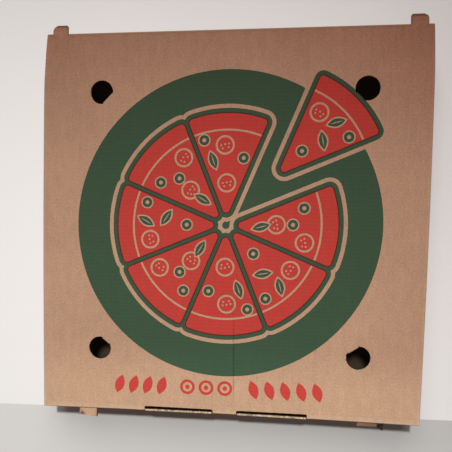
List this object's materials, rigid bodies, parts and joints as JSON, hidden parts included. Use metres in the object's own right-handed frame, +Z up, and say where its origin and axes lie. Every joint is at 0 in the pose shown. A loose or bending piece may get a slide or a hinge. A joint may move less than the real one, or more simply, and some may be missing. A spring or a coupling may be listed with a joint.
{
  "type": "pizza box",
  "caption": "Shut square takeaway box of brown corrugated board, with vent holes in the lid, slots with lock tabs at the front and ears at the corners.",
  "frame": {"origin": "On the floor under the middle of the box as it lies flat, halfway between the tips of the front and back ears.", "axes": "+Z up out of the lid, +Y to the hinge at the back, +X to the box's right as seen from its front."},
  "size_m": [0.332, 0.346, 0.04],
  "materials": {
    "kraft_board": "matt brown kraft liner with a green and red print on the lid"
  },
  "bodies": {
    "root": {"pizza_box": "kraft_board"}
  },
  "joints": []
}
